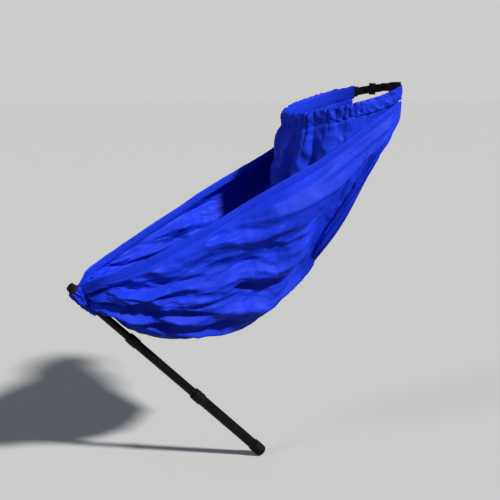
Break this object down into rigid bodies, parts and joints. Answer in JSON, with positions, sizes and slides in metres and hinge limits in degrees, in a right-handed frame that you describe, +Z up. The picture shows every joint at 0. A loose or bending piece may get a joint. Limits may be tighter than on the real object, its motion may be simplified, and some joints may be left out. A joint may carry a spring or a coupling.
{
  "type": "rope storage bag",
  "caption": "Hammock-style rope bag that hangs from a tree trunk by a gathered band, its nose propped by a telescopic pole.",
  "frame": {"origin": "on the trunk's axis at the mid height of the trunk band", "axes": "+Z up along the trunk, -X from the trunk towards the bag's nose, +Y across the bag to its far side; the part is symmetric about y = 0 except for the rear buckle"},
  "size_m": [1.057, 0.399, 1.147],
  "materials": {
    "blue_nylon": "thin coated ripstop nylon, a little shiny, crumpled",
    "blue_seam_tape": "folded seam binding",
    "black_webbing": "woven polyester webbing",
    "black_elastic": "braided flat elastic",
    "black_plastic": "moulded, satin",
    "black_paint": "powder-coated tube, satin",
    "black_rubber": "moulded, dull"
  },
  "bodies": {
    "root": {"near_side_nose": "blue_nylon", "near_side_middle": "blue_nylon", "near_side_trunk": "blue_nylon", "far_side_nose": "blue_nylon", "far_side_middle": "blue_nylon", "far_side_trunk": "blue_nylon", "keel_seam_binding": "blue_seam_tape", "back_panel": "blue_nylon", "near_hem_casing": "blue_nylon", "far_hem_casing": "blue_nylon", "near_hem_webbing": "black_webbing", "far_hem_webbing": "black_webbing", "trunk_band_casing": "blue_nylon", "trunk_band_elastic": "black_elastic", "near_rear_strap": "black_webbing", "far_rear_strap": "black_webbing", "strap_slider": "black_plastic", "buckle_socket": "black_plastic"},
    "plug": {"buckle_plug": "black_plastic", "plug_webbing": "black_webbing"},
    "upper_section": {"upper_tube": "black_paint", "top_cap": "black_plastic", "nose_binding": "black_webbing", "nose_cuff": "blue_nylon", "upper_guide_bush": "black_plastic"},
    "middle_section": {"middle_tube": "black_paint", "lower_guide_bush": "black_plastic"},
    "upper_lock": {"upper_lock_collar": "black_plastic"},
    "lower_section": {"lower_tube": "black_paint", "foot_plug": "black_plastic", "rubber_foot": "black_rubber"},
    "lower_lock": {"lower_lock_collar": "black_plastic"}
  },
  "joints": [
    {"name": "pole_swing", "type": "hinge", "parent": "root", "child": "upper_section", "pos_m": [-0.84164, 0, -0.51206], "axis": [0, 1, 0], "range_deg": [0, 60]},
    {"name": "middle_slide", "type": "slide", "parent": "upper_section", "child": "middle_section", "axis": [-0.712, 0, 0.7021], "range_m": [0, 0.1]},
    {"name": "lower_slide", "type": "slide", "parent": "middle_section", "child": "lower_section", "axis": [-0.712, 0, 0.7021], "range_m": [0, 0.18]},
    {"name": "upper_lock_turn", "type": "hinge", "parent": "middle_section", "child": "upper_lock", "pos_m": [-0.6921, 0, -0.65952], "axis": [-0.712, 0, 0.7021], "range_deg": [0, 90]},
    {"name": "lower_lock_turn", "type": "hinge", "parent": "lower_section", "child": "lower_lock", "pos_m": [-0.49417, 0, -0.85471], "axis": [-0.712, 0, 0.7021], "range_deg": [0, 90]},
    {"name": "buckle_release", "type": "slide", "parent": "root", "child": "plug", "axis": [0, 1, 0], "range_m": [0, 0.03]}
  ]
}
